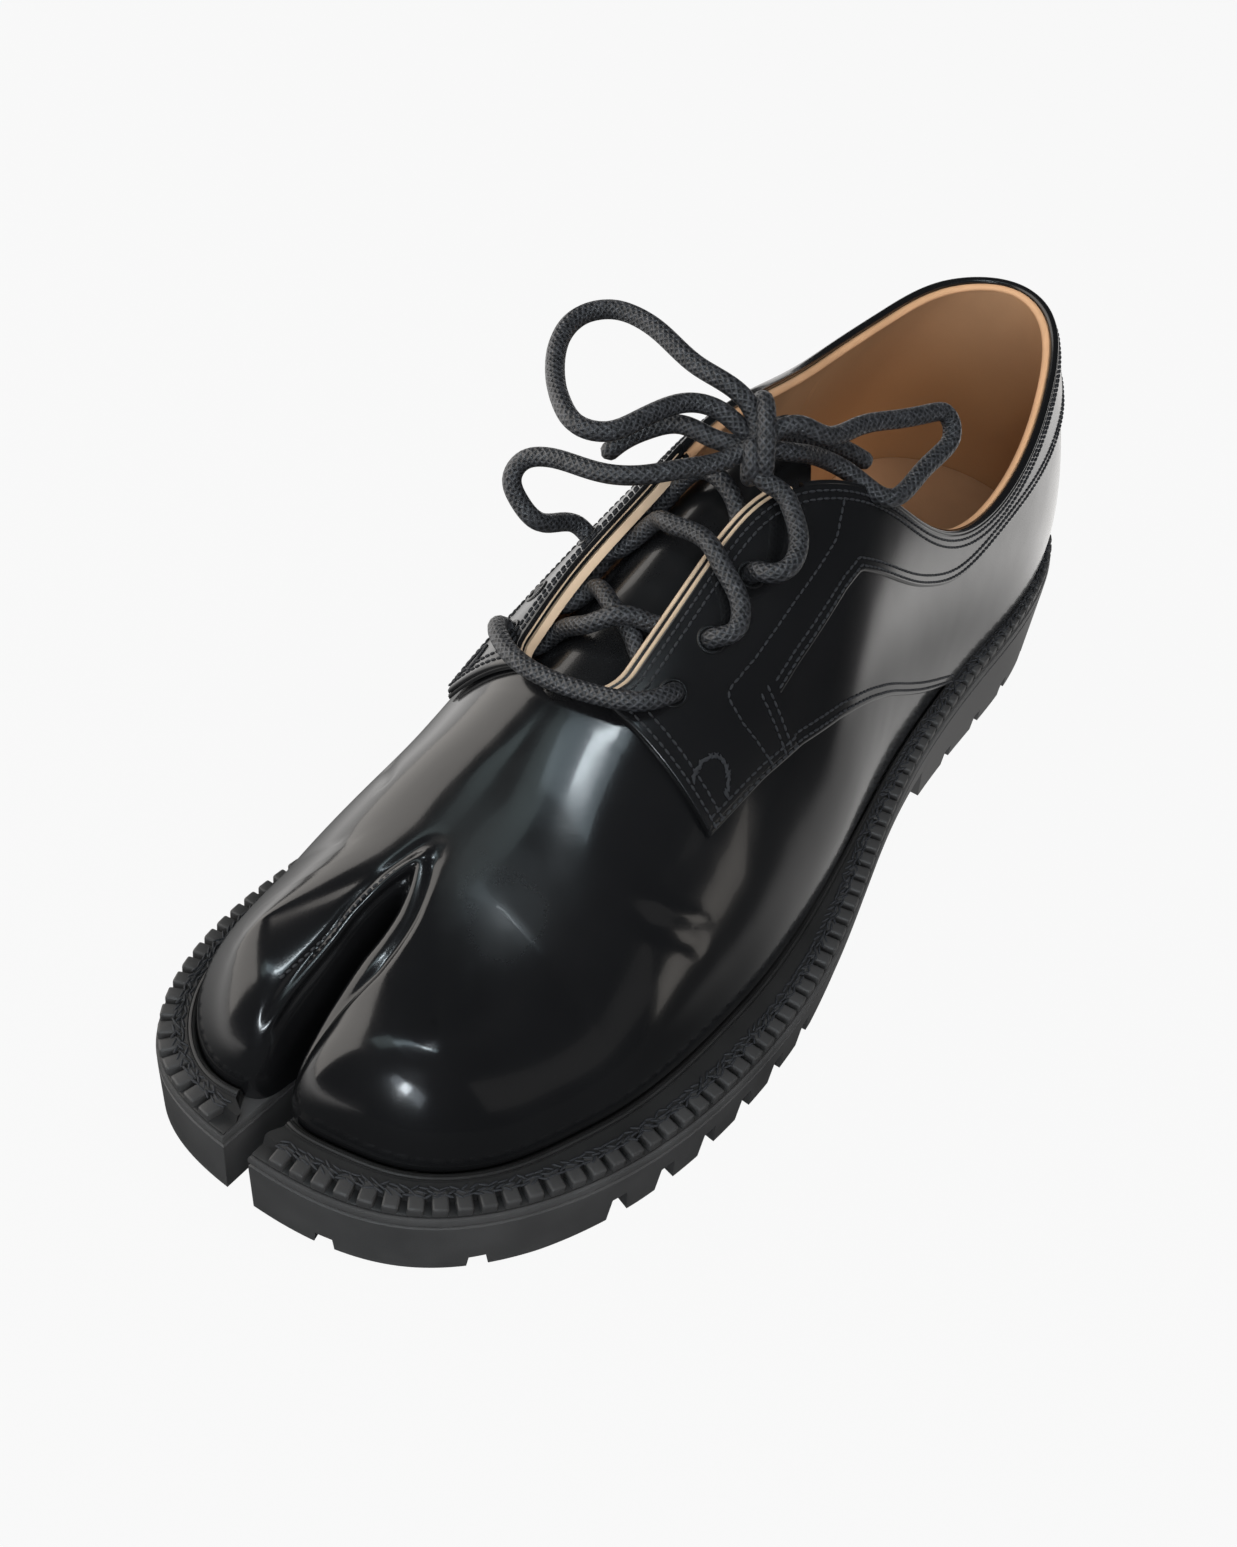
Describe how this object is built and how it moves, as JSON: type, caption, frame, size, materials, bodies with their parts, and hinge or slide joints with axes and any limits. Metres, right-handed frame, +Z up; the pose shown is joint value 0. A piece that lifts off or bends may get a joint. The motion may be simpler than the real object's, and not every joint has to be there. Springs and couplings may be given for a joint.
{
  "type": "split toe lace-up shoe",
  "caption": "Low black leather lace-up shoe with a toe split off for the big toe, open lacing tied in a bow, a tan lining, a toothed welt and a lugged rubber sole.",
  "frame": {"origin": "middle of the shoe's plan on the floor", "axes": "+Z up, toe towards -Y, heel towards +Y, outer side of this left shoe towards +X"},
  "size_m": [0.1068, 0.288, 0.1245],
  "materials": {
    "outsole_rubber": "matt moulded",
    "welt_rubber": "satin moulded",
    "upper_leather": "high polish",
    "quarter_leather": "high polish",
    "facing_leather": "high polish",
    "tongue_leather": "polished",
    "insole_leather": "smooth matt",
    "lace_cotton": "waxed braid"
  },
  "bodies": {
    "root": {"outsole": "outsole_rubber", "welt": "welt_rubber", "upper": "upper_leather", "quarter_outer": "quarter_leather", "quarter_inner": "quarter_leather", "facing_outer": "facing_leather", "facing_inner": "facing_leather", "tongue": "tongue_leather", "insole": "insole_leather", "lace_bar_low": "lace_cotton", "lace_cross_low": "lace_cotton", "lace_cross_high": "lace_cotton", "lace_tail_outer": "lace_cotton", "lace_tail_inner": "lace_cotton", "lace_knot": "lace_cotton", "lace_loop_outer": "lace_cotton", "lace_loop_inner": "lace_cotton", "lace_end_outer": "lace_cotton", "lace_end_inner": "lace_cotton"}
  },
  "joints": []
}
